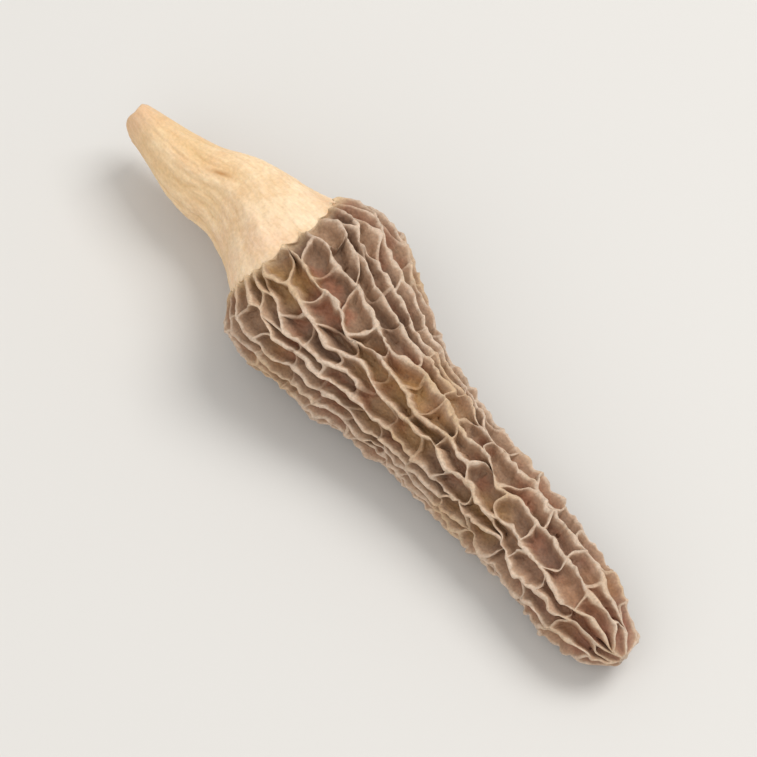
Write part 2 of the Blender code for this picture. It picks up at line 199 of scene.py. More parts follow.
def margin(u):
    """Place along of the cap's lower margin: it leans with the sine of the angle round, because
    the stem reaches further on the upper side, and tilts with the cosine."""
    return MARGIN_PLACE + MARGIN_LEAN * np.clip(np.sin(u), LEAST_SINE, 1) - MARGIN_TILT * np.cos(u)


# The net, as in the solids, in mm along the skin
CREST_HEIGHT = 1.45
CREST_UNEVENNESS = (0.86, 1.1)
TRUNKS = 6  # lanes at the tip
TRUNK_UNEVENNESS = 0.15  # of the edges between them, as a share of their width
FORKS = ((47.5, 50.0), (16.0, 34.0), (-0.4, 0.6))  # where the lanes fork, and end at the margin
FORK_SHARE = (0.42, 0.58)
RUNG_SPACING = (3.4, 3.9)  # near the margin and near the tip
FIRST_RUNG = (0.4, 1.2)  # from the tip's end to where the first pits start
BEYOND_TIP = 1.4  # where the points lie that close the net at the tip
LENGTHWISE_STRETCH = 2.5
WANDER = (0.08, 0.2)  # of a pit's middle, as shares of its width and length
# Waves by which the ridges sway sideways: radians, waves round, radians per mm, start
SWAY = ((0.045, 3, 0.62, 0.0), (0.03, -2, 1.25, 1.0), (0.022, 7, 0.8, 2.0), (0.018, -11, 0.45, 4.0))
SAME_POINT = 1e-7  # how near two middles of pits count as one
SAME_ANGLE = 1e-9  # to which the edges of two lanes agree where they are one
SHORTEST_SIDE = 0.3  # of a pit
STEP_SLANT = 0.02  # radians by which each end of a step in the margin moves into its own lane
NET_SEED = 11

# The skin unrolled: x, its radius, the length along it from x = 0, and s, which grows with
# that length over the radius, so that a shape keeps its angles when it is rolled up again
TABLE_START = -8.0  # mm along
TABLE_STEPS = 900
LEAST_SCALE = 1.5  # mm to a unit of s where the radius closes to nothing
TIP_GAP = 0.25  # mm that the crests keep from the very tip
x_table = TIP - (TIP - TABLE_START) * (1 - np.linspace(0, 1, TABLE_STEPS)) ** 2
_, share_table, raised_table = tip_rounding(x_table)
radius_table = (profile(1, x_table) + profile(2, x_table)) / 2 * share_table
radius_table += CREST_HEIGHT / 2 * raised_table
step_table = np.hypot(np.diff(x_table), np.diff(radius_table))
length_table = np.concatenate(([0], np.cumsum(step_table)))
length_table -= np.interp(0, x_table, length_table)
scale_table = np.hypot(radius_table, LEAST_SCALE)
rate_table = 1 / scale_table
s_table = np.concatenate(([0], np.cumsum(step_table * (rate_table[1:] + rate_table[:-1]) / 2)))
LENGTH = length_table[-1]
S_END = s_table[-1] - TIP_GAP / scale_table[-1]


def pit_centres():
    """Middles of the pits as (u, s), which are real, and the lane of each, as the angles of its
    two edges. The lanes lie between the long ridges and fork twice on their way from the tip."""
    draw = np.random.default_rng(NET_SEED)
    centres = []
    real = []
    lanes = []

    def add(lane, u, s, is_real):
        """Take down one pit: its lane, its middle, and whether it is a real one."""
        centres.append((u % math.tau, s))
        real.append(is_real)
        lanes.append(lane)

    def fill(lane, top, level):
        """Divide a lane evenly into pits, down to where it forks or ends, with each middle moved
        a little at random, and go on in the two lanes of the fork. At the end, a last middle
        mirrors the one above the margin."""
        bottom = draw.uniform(*FORKS[level])
        step = np.interp((top + bottom) / 2, (0, LENGTH), RUNG_SPACING)
        count = max(1, round((top - bottom) / step))
        step = (top - bottom) / count
        for k in range(count):
            aside, ahead = draw.uniform(-1, 1, 2) * WANDER
            turn = lane[0] + (lane[1] - lane[0]) * (0.5 + aside)
            length = top - (k + 0.5 + ahead) * step
            place = length + margin(turn) * np.clip(1 - length / LEAN_REACH, 0, 1)
            add(lane, turn + waves(SWAY, turn, place), np.interp(place, length_table, s_table), True)
        if level + 1 < len(FORKS):
            between = lane[0] + (lane[1] - lane[0]) * draw.uniform(*FORK_SHARE)
            fill((lane[0], between), bottom, level + 1)
            fill((between, lane[1]), bottom, level + 1)
        else:
            u, s = centres[-1]
            edge = np.interp(bottom + margin(sum(lane) / 2), length_table, s_table)
            add(lane, u, 2 * edge - s, False)

    uneven = draw.uniform(-TRUNK_UNEVENNESS, TRUNK_UNEVENNESS, TRUNKS)
    edges = [float(edge) for edge in (np.arange(TRUNKS) + uneven) * math.tau / TRUNKS]
    for lane in zip(edges, edges[1:] + [edges[0] + math.tau]):
        fill(lane, LENGTH - draw.uniform(*FIRST_RUNG), 0)
        add(lane, sum(lane) / 2, s_table[-1] + BEYOND_TIP / scale_table[-1], False)
    return centres, real, lanes


def divide(centres):
    """The corners round each pit in turn, as (name, u, s), and the pits that meet at each
    corner: every point of the unrolled skin belongs to the pit whose middle is nearest, with
    lengthwise distances counted less."""
    copies = [(pit, shift, u + shift * math.tau, s)
              for shift in (-1, 0, 1) for pit, (u, s) in enumerate(centres)]
    points = np.array([copy[2:] for copy in copies]) / (1, LENGTHWISE_STRETCH)
    around = defaultdict(list)
    meeting = {}
    for face in delaunay_2d_cdt([Vector(point) for point in points], [], [], 0, SAME_POINT)[2]:
        members = [copies[i] for i in face]
        if all(shift for pit, shift, u, s in members):
            continue
        a, b, c = points[list(face)]
        (bx, by), (cx, cy) = b - a, c - a
        far_b, far_c = bx * bx + by * by, cx * cx + cy * cy
        area = 2 * (bx * cy - by * cx)
        u = a[0] + (cy * far_b - by * far_c) / area
        s = (a[1] + (bx * far_c - cx * far_b) / area) * LENGTHWISE_STRETCH
        first = min(members)
        name = tuple(sorted((member[0], member[1] - first[1]) for member in members))
        meeting[name] = [member[0] for member in members]
        for pit, shift, _, _ in members:
            if shift == 0:
                around[pit].append((name, u, s))
    for pit, corners in around.items():
        middle = centres[pit]
        corners.sort(key=lambda corner: math.atan2(corner[2] - middle[1], corner[1] - middle[0]))
    return around, meeting


def mm_per_unit(s):
    """Millimetres to a radian round, and to a unit of s along."""
    return np.interp(s, s_table, radius_table), np.interp(s, s_table, scale_table)


def ridges_between(pits, lanes):
    """The long ridges that part these pits, each as the angle of the edge that two lanes share."""
    return {lanes[a][1] for a in pits for b in pits
            if abs(math.remainder(lanes[a][1] - lanes[b][0], math.tau)) < SAME_ANGLE}


def ridge_angle(ridge, s):
    """Angle of a long ridge at s, as it sways along the cap."""
    return ridge + waves(SWAY, ridge, np.interp(s, s_table, length_table))


def line_up(around, meeting, real, lanes):
    """Move each corner between real pits onto the long ridge that it is part of, so that the
    ridge runs on past the rungs that join it, and each corner on the margin along, as far as
    the margin leans between its lane and itself."""
    for corners in around.values():
        for k, (name, u, s) in enumerate(corners):
            length = np.interp(s, s_table, length_table)
            pits = meeting[name]
            ridges = ridges_between(pits, lanes)
            ended = {lanes[pit] for pit in pits if not real[pit]}
            ending = ended.intersection(lanes[pit] for pit in pits if real[pit])
            if len(ridges) == 1 and not ended:
                corners[k] = (name, u + math.remainder(ridge_angle(ridges.pop(), s) - u, math.tau), s)
            elif ending and length < LENGTH / 2:
                middle = sum(ending.pop()) / 2
                u += math.copysign(STEP_SLANT, math.remainder(middle - u, math.tau))
                lean = margin(u) - margin(middle)
                corners[k] = (name, u, np.interp(length + lean, length_table, s_table))


def spread(around):
    """Move two corners of a pit that nearly touch apart along the cap."""
    moves = {}
    for corners in around.values():
        for here, after in zip(corners, corners[1:] + corners[:1]):
            across, along = mm_per_unit(here[2])
            side = math.hypot((after[1] - here[1]) * across, (after[2] - here[2]) * along)
            missing = SHORTEST_SIDE - side
            if missing > 0:
                lower, upper = sorted((here, after), key=lambda corner: corner[2])
                moves[lower[0]] = -missing / 2 / along
                moves[upper[0]] = missing / 2 / along
    for pit, corners in around.items():
        around[pit] = [(name, u, s + moves.get(name, 0)) for name, u, s in corners]


# The crests between the corners
MARGIN_HEIGHT = 0.06  # mm over the skin, where a crest runs out on the margin
MARGIN_RISE = 0.45  # power of the way by which a crest rises from there: it leaves steeply
RIDGE_DIP = (0.0, 0.14)  # shares by which a ridge sags between two junctions
RUNG_DIP = (0.2, 0.95)
SAG_POWER = 0.7  # below one, a crest drops soon after a junction and then hangs level
# Rungs stand higher at the margin and on the finger: mm along, and share of the full dip there
RUNG_DIP_SHARE = ((0.0, 9.0, 20.0, 30.0), (0.6, 1.0, 1.0, 0.4))
RUNG_BOW = 0.12  # how far a rung bows, as a share of its length
MARGIN_BOW = 0.28  # how far the stem's flesh runs up into each pit that opens on the margin
POINT_SPACING = 0.22  # mm along a crest
FLOOR_DEPTH = (0.1, 0.4)  # mm that a pit's floor lies below the skin

# Rings of points from a crest down its wall: mm in from the crest, smoothing in points, and
# share of the crest's height. The last is the foot of the wall.
WALL_RINGS = (
    (0.11, 0.5, 0.97),
    (0.2, 0.8, 0.8),
    (0.28, 1.3, 0.38),
    (0.44, 2.2, 0.08),
)
WALL_UNEVENNESS = ((0.25, 3.0, 21), (0.2, 0.9, 22))  # of its thickness: share, size in mm, seed
WALL_ROOM = 0.85  # most of the way from a crest to the middle line that its wall may take
ROUND_ENDS = 0.8  # how far the middle line stays from the pit's ends, in half widths
# Rings of the floor: share of the way left from the foot of the walls to the middle line, and
# share of the wall's points
FLOOR_RINGS = ((0.7, 0.8), (0.34, 0.6))
SHORTEST_LINE = 0.001  # mm, the least length that a middle line is taken to have


class CapMesh:
    """Gathers the cap's points as numbers on the unrolled skin, and its faces."""

    def __init__(self):
        self.columns = {name: [] for name in ("u", "s", "height", "level", "tone")}
        self.count = 0
        self.faces = []

    def add(self, **values):
        """Add points and return their numbers."""
        arrays = np.broadcast_arrays(*[values[name] for name in self.columns])
        for column, array in zip(self.columns.values(), arrays):
            column.append(np.ravel(array).astype(float))
        numbers = self.count + np.arange(arrays[0].size)
        self.count += arrays[0].size
        return numbers

    def column(self, name):
        """One number of all points, as an array."""
        return np.concatenate(self.columns[name])

    def band(self, outer, inner):
        """Triangles between two closed rings, the inner one of as many points or fewer."""
        here = np.arange(len(outer)) * len(inner) // len(outer)
        after = np.append(here[1:], len(inner))
        ahead = inner[after % len(inner)]
        self.faces.append(np.stack((outer, np.roll(outer, -1), ahead), 1))
        self.faces.append(np.stack((outer, ahead, inner[here]), 1)[after > here])

    def close_on_line(self, ring, line, nearest):
        """Triangles from a closed ring to a line of points along its middle, where each point of
        the ring has its nearest on the line."""
        ahead = np.roll(nearest, -1)
        self.faces.append(np.stack((ring, np.roll(ring, -1), line[ahead]), 1))
        self.faces.append(np.stack((ring, line[ahead], line[nearest]), 1)[ahead != nearest])

    def close(self, ring, middle):
        """Triangles from a closed ring to one point in its middle."""
        self.faces.append(np.stack((ring, np.roll(ring, -1), np.full(len(ring), middle)), 1))


def crest_line(here, after, ridge, bow):
    """Curve (u, s) from one corner to the next, without its two ends: along a long ridge it
    follows the ridge's own sway, and across it is an arc."""
    du, ds = after[1] - here[1], after[2] - here[2]
    across, along = mm_per_unit((here[2] + after[2]) / 2)
    steps = max(2, round(math.hypot(du * across, ds * along) / POINT_SPACING))
    t = np.arange(1, steps) / steps
    if ridge is None:
        arch = bow * np.sin(math.pi * t)
        return t, here[1] + du * t - ds * arch, here[2] + ds * t + du * arch
    s = here[2] + ds * t
    start, end = ridge_angle(ridge, here[2]), ridge_angle(ridge, after[2])
    return t, here[1] + ridge_angle(ridge, s) - start + (du - end + start) * t, s


def build_crests(mesh, real, lanes, around, meeting, at_margin):
    """Add a point for each junction and a run of points for each side of a pit, and return for
    each pit its closed ring of point numbers, and the sides that only one pit uses."""
    draw = np.random.default_rng(NET_SEED + 1)
    share = {name: draw.uniform(*CREST_UNEVENNESS) for name in sorted(meeting)}
    junctions = {}
    runs = {}

    def junction(corner):
        """The point at a corner, which is made once, and its height."""
        name, u, s = corner
        if name not in junctions:
            height = MARGIN_HEIGHT if at_margin[name] else CREST_HEIGHT * share[name]
            number = mesh.add(u=u, s=min(s, S_END), height=height, level=1, tone=0.5)
            junctions[name] = (number, height)
        return junctions[name]

    def run_between(pit, here, after):
        """The points from one corner of a pit until the next, made once for the two pits that
        share them: the height goes from the one's to the other's, less a sag between them."""
        number, start = junction(here)
        side = frozenset((here[0], after[0]))
        if side in runs:
            return np.concatenate((number, runs[side][::-1]))
        end = junction(after)[1]
        other = set(meeting[here[0]]) & set(meeting[after[0]]) - {pit}
        ridge = next(iter(ridges_between((pit, *other), lanes)), None)
        on_margin = at_margin[here[0]] + at_margin[after[0]]
        bow = draw.normal(0, RUNG_BOW)
        if on_margin == 2:
            is_step = abs(after[2] - here[2]) > abs(after[1] - here[1])
            bow = 0 if is_step else bow + MARGIN_BOW
        t, u, s = crest_line(here, after, ridge, bow)
        dip = draw.uniform(*(RUNG_DIP if ridge is None else RIDGE_DIP))
        if ridge is None:
            dip *= np.interp(np.interp(here[2], s_table, x_table), *RUNG_DIP_SHARE)
        sag = 1 - (dip if on_margin == 0 else 0) * np.sin(math.pi * t) ** SAG_POWER
        rise = t
        if on_margin == 1:
            rise = t ** MARGIN_RISE if at_margin[here[0]] else 1 - (1 - t) ** MARGIN_RISE
        height = (start + (end - start) * rise) * sag
        runs[side] = mesh.add(u=u, s=np.minimum(s, S_END), height=height, level=1, tone=0.5)
        return np.concatenate((number, runs[side]))

    rings = {}
    border = {}
    for pit, corners in around.items():
        if not real[pit]:
            continue
        sides = list(zip(corners, corners[1:] + corners[:1]))
        parts = [run_between(pit, here, after) for here, after in sides]
        rings[pit] = np.concatenate(parts)
        for (here, after), part in zip(sides, parts):
            side = frozenset((here[0], after[0]))
            if side in border:
                del border[side]
            else:
                border[side] = (here[0], after[0], part)
    return rings, border


def middle_line(flat):
    """For each point of a pit's outline, which starts at one end of the pit, the place that it
    faces on the pit's middle line, as mm along and across, and the two directions. The line
    lies midway between the two sides and stops short of the pit's ends."""
    directions = pit_directions(flat)
    a, b = directions @ flat.T
    turn = np.argmax(a)
    sides = [np.arange(turn + 1), np.append(0, np.arange(len(a) - 1, turn - 1, -1))]
    for side in sides:
        a[side] = np.maximum.accumulate(a[side])
    shortened = ROUND_ENDS * np.ptp(b) / 2
    reach = (a.min() + shortened, a.max() - shortened)
    place = np.clip(a, *reach) if reach[0] < reach[1] else np.full(len(a), sum(reach) / 2)
    across = sum(np.interp(place, a[side], b[side]) for side in sides) / 2
    return np.stack((place, across), 1), directions


def pit_directions(flat):
    """The direction along a pit, in which its outline is spread most, and the one across."""
    along = np.linalg.svd(flat, full_matrices=False)[2][0]
    return np.stack((along, (-along[1], along[0])))


def build_pit(mesh, ring, columns, thickness, depth, tone):
    """Build one pit inwards from its ring of crest points: each ring of the wall is the crest,
    smoothed and moved towards the pit's middle line, and the rings of the floor close on it."""
    u, s, height = (column[ring] for column in columns)
    u = np.unwrap(u)
    across, along = mm_per_unit(s.mean())
    size = np.array((across, along, 1.0))
    middle = np.array((u.mean(), s.mean(), 0.0))
    crest = (np.stack((u, s, height), 1) - middle) * size
    end = np.argmin(crest[:, :2] @ pit_directions(crest[:, :2])[0])
    crest, ring, thickness = (np.roll(array, -end, 0) for array in (crest, ring, thickness[ring]))
    gap = np.arange(len(ring))
    gap = np.abs(gap[:, None] - gap[None, :])
    gap = np.minimum(gap, len(ring) - gap)
    faced, directions = middle_line(crest[:, :2])
    goal = faced @ directions
    outer = ring

    def add_points(points, level):
        """Add points that are given in mm from the pit's middle."""
        places = points / size + middle
        return mesh.add(u=places[:, 0], s=np.minimum(places[:, 1], S_END), height=places[:, 2],
                        level=level, tone=tone)

    for inset, smoothing, level in WALL_RINGS:
        weights = np.exp(-0.5 * (gap / smoothing) ** 2)
        points = weights @ crest / weights.sum(1, keepdims=True)
        way = goal - points[:, :2]
        room = np.linalg.norm(way, axis=1)
        share = np.minimum(inset * thickness / room, WALL_ROOM * inset / WALL_RINGS[-1][0])
        points[:, :2] += way * share[:, None]
        points[:, 2] = (points[:, 2] + depth) * level - depth
        inner = add_points(points, level)
        mesh.band(outer, inner)
        outer = inner
    for left, kept in FLOOR_RINGS:
        count = round(len(points) * kept)
        chosen = np.arange(count) * len(points) // count
        floor = points[chosen]
        floor[:, :2] = goal[chosen] + (floor[:, :2] - goal[chosen]) * left
        floor[:, 2] = -depth + (floor[:, 2] + depth) * left
        inner = add_points(floor, 0)
        mesh.band(outer, inner)
        outer = inner
    place = faced[chosen, 0]
    widest = np.abs(np.diff(place, append=place[:1])).max()
    count = 1 + (int(np.ptp(place) / widest) if widest > 0 else 0)
    line = np.linspace(place.min(), place.max(), count)
    length = max(line[-1] - line[0], SHORTEST_LINE)
    nearest = np.round((place - line[0]) / length * (count - 1)).astype(int)
    order = np.argsort(faced[:, 0], kind="stable")
    line = np.stack((line, np.interp(line, *faced[order].T)), 1) @ directions
    line = add_points(np.column_stack((line, np.full(count, -depth))), 0)
    mesh.close_on_line(outer, line, nearest)


def border_loops(border):
    """The closed loops of the sides that only one pit uses, as rings of point numbers."""
    after = {start: (end, part) for start, end, part in border.values()}
    loops = []
    while after:
        name = next(iter(after))
        parts = []
        while name in after:
            name, part = after.pop(name)
            parts.append(part)
        loops.append(np.concatenate(parts))
    return loops


centres, real, lanes = pit_centres()
around, meeting = divide(centres)
line_up(around, meeting, real, lanes)
spread(around)
half_way = s_table[-1] / 2
at_margin = {name: any(not real[pit] and centres[pit][1] < half_way for pit in pits)
             for name, pits in meeting.items()}
mesh = CapMesh()
rings, border = build_crests(mesh, real, lanes, around, meeting, at_margin)
crest_columns = [mesh.column(name) for name in ("u", "s", "height")]
crest_spots = skin(crest_columns[0], np.interp(crest_columns[1], s_table, x_table), 0) / MM
thickness = 1 + reliefs(crest_spots, WALL_UNEVENNESS)
draw = np.random.default_rng(NET_SEED + 2)
for pit, ring in rings.items():
    build_pit(mesh, ring, crest_columns, thickness, draw.uniform(*FLOOR_DEPTH), draw.uniform(0, 1))
margin_loop, tip_loop = sorted(border_loops(border), key=lambda loop: crest_columns[1][loop[0]])
mesh.close(margin_loop[::-1], mesh.count)
mesh.close(tip_loop[::-1], mesh.count + 1)

# Ridges lean and wander sideways the more the higher they stand, their edges are ragged, the
# floors of the pits are wrinkled, and all of it is stronger on the finger, which dried more
# shrivelled. It dies away where the ridges meet at the tip.
CALM_TIP = 1.4  # mm of radius
TIP_HEIGHT = 0.9  # share of the crests' height at which they meet
SHRIVEL = ((12.0, 28.0), (1.0, 1.4))  # mm along, and strength there
SHALLOW_TIP = ((36.0, 47.0), (0.0, 0.5))  # mm along, and mm by which the pits are shallower there
# Random reliefs of the dried skin: mm, size in mm, seed
LEANING_ASIDE = ((0.14, 4.5, 3), (0.06, 1.4, 4))
LEANING_AHEAD = ((0.14, 4.5, 5), (0.06, 1.4, 6))
RAGGED_EDGES = ((0.09, 2.6, 7), (0.07, 1.0, 8))
FLOOR_FOLDS = (0.1, 1.8, 9)
FLOOR_CRUMPLE = (0.05, 0.8, 10)
FLOOR_LEVEL = 0.08  # mm, the mean height of the folds, which is taken off
RIM_REACH = 1.5  # mm from the margin over which the skin turns cream
u, s, height, level, tone = (mesh.column(name) for name in mesh.columns)
spots = skin(u, np.interp(s, s_table, x_table), 0) / MM
across, along = mm_per_unit(s)
lifted = np.clip(height / CREST_HEIGHT, 0, 1)
calm = np.clip(across / CALM_TIP, 0, 1)
shrivel = np.interp(s, s_table, np.interp(x_table, *SHRIVEL))
shallow = np.interp(s, s_table, np.interp(x_table, *SHALLOW_TIP))
aside = calm * shrivel * lifted * reliefs(spots, LEANING_ASIDE)
ahead = calm * shrivel * lifted * reliefs(spots, LEANING_AHEAD)
ragged = reliefs(spots, RAGGED_EDGES)
wrinkled = FLOOR_FOLDS[0] * np.abs(relief(spots, *FLOOR_FOLDS[1:])) - FLOOR_LEVEL
wrinkled = wrinkled + FLOOR_CRUMPLE[0] * relief(spots, *FLOOR_CRUMPLE[1:])
height = height + shrivel * (level * lifted * ragged + (1 - level) * wrinkled)
height = height + (1 - level) * shallow
height = TIP_HEIGHT * CREST_HEIGHT + (height - TIP_HEIGHT * CREST_HEIGHT) * calm
u = u + aside / np.maximum(across, CALM_TIP)
s = s + ahead / along
x = np.minimum(np.interp(s, s_table, x_table), TIP)
base_middle = (MARGIN_MIDDLE, profile(3, MARGIN_MIDDLE), profile(4, MARGIN_MIDDLE))
base_middle = (np.array(base_middle) - CENTRE) * MM
tip_middle = skin(0.0, TIP, CREST_HEIGHT * TIP_HEIGHT)
cap_points = np.concatenate((skin(u, x, height), (base_middle, tip_middle)))
rim = np.exp(-np.clip(x - margin(u), 0, None) / RIM_REACH)
# The last two points are the middle of the base, deep and cream, and the tip, which is a crest
cap_values = {"level": np.append(level, (0, 1)), "lifted": np.append(lifted, (0, 1)),
              "tone": np.append(tone, (0.5, 0.5)), "rim": np.append(rim, (1, 0))}


def make_piece(name, points, faces, values):
    """A smooth-shaded mesh object from whole arrays of points and faces, with one float
    attribute for each named array."""
    data = bpy.data.meshes.new(name)
    data.from_pydata(points, [], faces)
    for title, array in values.items():
        layer = data.attributes.new(title, "FLOAT", "POINT")
        layer.data.foreach_set("value", np.ascontiguousarray(array, np.float32))
    data.shade_smooth()
    piece = bpy.data.objects.new(name, data)
    bpy.context.scene.collection.objects.link(piece)
    return piece


cap = make_piece("cap_skin", cap_points, np.concatenate(mesh.faces), cap_values)


def linear(hex_colour):
    """The linear colour of an sRGB hex value."""
    parts = [int(hex_colour[i:i + 2], 16) / 255 for i in (1, 3, 5)]
    return [p / 12.92 if p <= 0.04045 else ((p + 0.055) / 1.055) ** 2.4 for p in parts] + [1.0]


def new_material(name):
    """A new material, its node tree and its shader."""
    material = bpy.data.materials.new(name)
    material.use_nodes = True
    return material, material.node_tree, material.node_tree.nodes["Principled BSDF"]


def node(tree, kind, settings, inputs, output=0):
    """Add a node with its settings, and each input as a value or a link, and return an output."""
    added = tree.nodes.new(kind)
    for name, value in settings.items():
        setattr(added, name, value)
    for name, value in inputs.items():
        if isinstance(value, bpy.types.NodeSocket):
            tree.links.new(value, added.inputs[name])
        else:
            added.inputs[name].default_value = value
    return added.outputs[output]


def lay_colours(tree, colour, layers):
    """Lay layers of colour over a first one. Each is a pattern, its values where the layer
    comes in and where it is full, its share there, and its colour."""
    # Map Range takes 0 the value, 1 and 2 from, 3 and 4 to. Mix takes 0 the share and 6 and 7 the
    # colours, and gives 2
    for pattern, start, end, most, layer in layers:
        share = node(tree, "ShaderNodeMapRange", {}, {0: pattern, 1: start, 2: end, 4: most})
        colour = node(tree, "ShaderNodeMix", {"data_type": "RGBA"}, {0: share, 6: colour, 7: layer}, 2)
    return colour


# Dried mushroom skin: air-dried flesh, dull and slightly see-through at the thin edges. The
# pits are dark brown with a fine crumple, and painted shade darkens their walls further towards
# the floors. The crests are pale, worn and dusty.
cap_material, tree, shader = new_material("dried_cap_skin")
place = node(tree, "ShaderNodeTexCoord", {}, {}, "Object")
along_cap = node(tree, "ShaderNodeSeparateXYZ", {}, {0: place})
level_value, lifted_value, tone_value, rim_value = (
    node(tree, "ShaderNodeAttribute", {"attribute_name": name}, {}, "Fac") for name in cap_values)

# Random patterns in the skin: size in mm, and how fine they go
grain, wrinkles, patchy, ruddy = (
    node(tree, "ShaderNodeTexNoise", {}, {"Vector": place, "Scale": 1 / (size * MM), "Detail": detail})
    for size, detail in ((0.25, 3.0), (0.7, 4.0), (2.5, 3.0), (4.0, 3.0)))
# The golden patches lie where this shift along z puts them: near the base and halfway along
GOLDEN_SIZE = 9 * MM
GOLDEN_SHIFT = (0.0, 0.0, 12 * MM)
shifted = node(tree, "ShaderNodeMapping", {}, {"Vector": place, "Location": GOLDEN_SHIFT})
golden = node(tree, "ShaderNodeTexNoise", {}, {
    "Vector": shifted, "Scale": 1 / GOLDEN_SIZE, "Detail": 2.0})

wall = lay_colours(tree, linear("#775a45"), (
    (tone_value, 0.0, 1.0, 1.0, linear("#9a795d")),  # each pit has its own tone
    (ruddy, 0.5, 0.62, 0.7, linear("#945d41")),
    (golden, 0.5, 0.64, 0.7, linear("#9f7843")),
    (along_cap, 20 * MM, 34 * MM, 0.6, linear("#8a5c48")),  # redder towards the tip
    # Painted shade: the walls darken from the crests down to the pits' floors, over their own brown
    (lifted_value, 0.1, 0.9, 1.0, linear("#ab8b70")),  # paler up the walls
))
crest = lay_colours(tree, linear("#b0967f"), (
    (patchy, 0.0, 1.0, 1.0, linear("#d4bfa9")),
    (golden, 0.5, 0.64, 0.49, linear("#b8945f")),
))
# The crests are worn pale along their edges, raggedly, and most where they stand high
worn = node(tree, "ShaderNodeMath", {"operation": "MULTIPLY_ADD"}, {
    0: wrinkles, 1: 0.5, 2: level_value})
worn = node(tree, "ShaderNodeMapRange", {}, {0: worn, 1: 1.02, 2: 1.22})
high = node(tree, "ShaderNodeMapRange", {}, {0: lifted_value, 1: 0.4, 2: 0.85, 3: 0.15, 4: 1.0})
worn = node(tree, "ShaderNodeMath", {"operation": "MULTIPLY"}, {0: worn, 1: high})
skin_colour = lay_colours(tree, wall, (
    (worn, 0.0, 1.0, 1.0, crest),
    (rim_value, 0.4, 1.0, 1.0, linear("#d8bd98")),
))
speckle = node(tree, "ShaderNodeMapRange", {}, {0: grain, 1: 0.3, 2: 0.7, 3: 0.82, 4: 1.14})
skin_colour = node(tree, "ShaderNodeHueSaturation", {}, {"Value": speckle, "Color": skin_colour})
shrivelled = node(tree, "ShaderNodeBump", {}, {
    "Strength": 0.7, "Distance": 0.2 * MM, "Height": wrinkles})
grainy = node(tree, "ShaderNodeBump", {}, {
    "Strength": 0.6, "Distance": 0.06 * MM, "Height": grain, "Normal": shrivelled})
tree.links.new(skin_colour, shader.inputs["Base Color"])
tree.links.new(grainy, shader.inputs["Normal"])
shader.inputs["Roughness"].default_value = 0.75
shader.inputs["Subsurface Weight"].default_value = 0.1
shader.inputs["Subsurface Radius"].default_value = (1.0, 0.55, 0.35)
shader.inputs["Subsurface Scale"].default_value = 0.3 * MM
cap.data.materials.append(cap_material)
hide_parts("cap")
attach(cap, "root")

# The stem: a short cream tube, soft when fresh and dried to a hard wrinkled trumpet. It grew
# as one with the cap, which it widens to meet, and its cut end dried pinched nearly shut.
STEM_COLUMNS = 320
STEM_ROWS = 190
STEM_WALL = 0.6  # mm thick at the mouth
MOUTH_DEPTH = 4.5  # mm
RAGGED = ((0.16, 3, 0, 2.6), (0.1, 5, 0, 3.6))  # of the cut end, as the waves above
UNDER_CAP = ((0.03, -0.3), (0.12, -0.8), (0.5, -1.4))  # rows past the margin: mm along, height
# Rows of the mouth from deep inside to the lip: shares of its depth, and of the wall's thickness
MOUTH = ((1.0, 1.6), (0.7, 1.45), (0.45, 1.3), (0.25, 1.15), (0.1, 1.0), (0.03, 0.75))
LIP = ((-0.01, 0.4), (0.0, 0.15))
# Painted shade in the hollow mouth, as a dark brown that deepens further in: its share in each row
MOUTH_SHADE = (1.0, 1.0, 1.0, 0.9, 0.7, 0.45, 0.15, 0.05)  # share of the mouth's brown in them

turns = np.linspace(0, math.tau, STEM_COLUMNS, endpoint=False)
cut = STEM_END + waves(RAGGED, turns, 0)
order = np.argsort(crest_columns[0][margin_loop] % math.tau)
margin_u = (crest_columns[0][margin_loop] % math.tau)[order]
margin_x = np.interp(crest_columns[1][margin_loop], s_table, x_table)[order]
upper_edge = np.interp(turns, margin_u, margin_x, period=math.tau)
rows = [skin(turns, cut + MOUTH_DEPTH * deep, -STEM_WALL * thick) for deep, thick in MOUTH + LIP]
share = np.linspace(0, 1, STEM_ROWS)[:, None]
stem_x = cut + (upper_edge - cut) * share
rows += list(skin(turns, stem_x, 0.0))
rows += [skin(turns, upper_edge + ahead, height) for ahead, height in UNDER_CAP]
count = len(rows)
low = np.arange((count - 1) * STEM_COLUMNS).reshape(count - 1, STEM_COLUMNS)
after = np.roll(low, -1, 1)
quads = np.stack((low, after, after + STEM_COLUMNS, low + STEM_COLUMNS), -1).reshape(-1, 4)
axis_x = np.array((STEM_END + MOUTH_DEPTH, MARGIN_MIDDLE))
axis = (np.stack((axis_x, profile(3, axis_x), profile(4, axis_x)), 1) - CENTRE) * MM
first, last = np.arange(STEM_COLUMNS), (count - 1) * STEM_COLUMNS + np.arange(STEM_COLUMNS)
mouth_floor = count * STEM_COLUMNS
fans = [(np.roll(first, -1), first, mouth_floor), (last, np.roll(last, -1), mouth_floor + 1)]
fans = [np.stack((a, b, np.full(STEM_COLUMNS, c)), 1) for a, b, c in fans]
dark = np.repeat(MOUTH_SHADE, STEM_COLUMNS)
inside = np.concatenate((dark, np.zeros((STEM_ROWS + len(UNDER_CAP)) * STEM_COLUMNS), (1, 0)))
around_stem = np.broadcast_to(turns, stem_x.shape)
before, past = np.zeros(dark.size), np.zeros(len(UNDER_CAP) * STEM_COLUMNS + 2)
furrow = np.concatenate((before, stem_wrinkles(around_stem, stem_x).ravel(), past))
scar = np.concatenate((before, stem_scar(around_stem, stem_x).ravel(), past))
stem_values = {"furrow": furrow, "inside": inside, "scar": scar}
stem_faces = quads.tolist() + np.concatenate(fans).tolist()
stem = make_piece("stem_flesh", np.concatenate((*rows, axis)), stem_faces, stem_values)
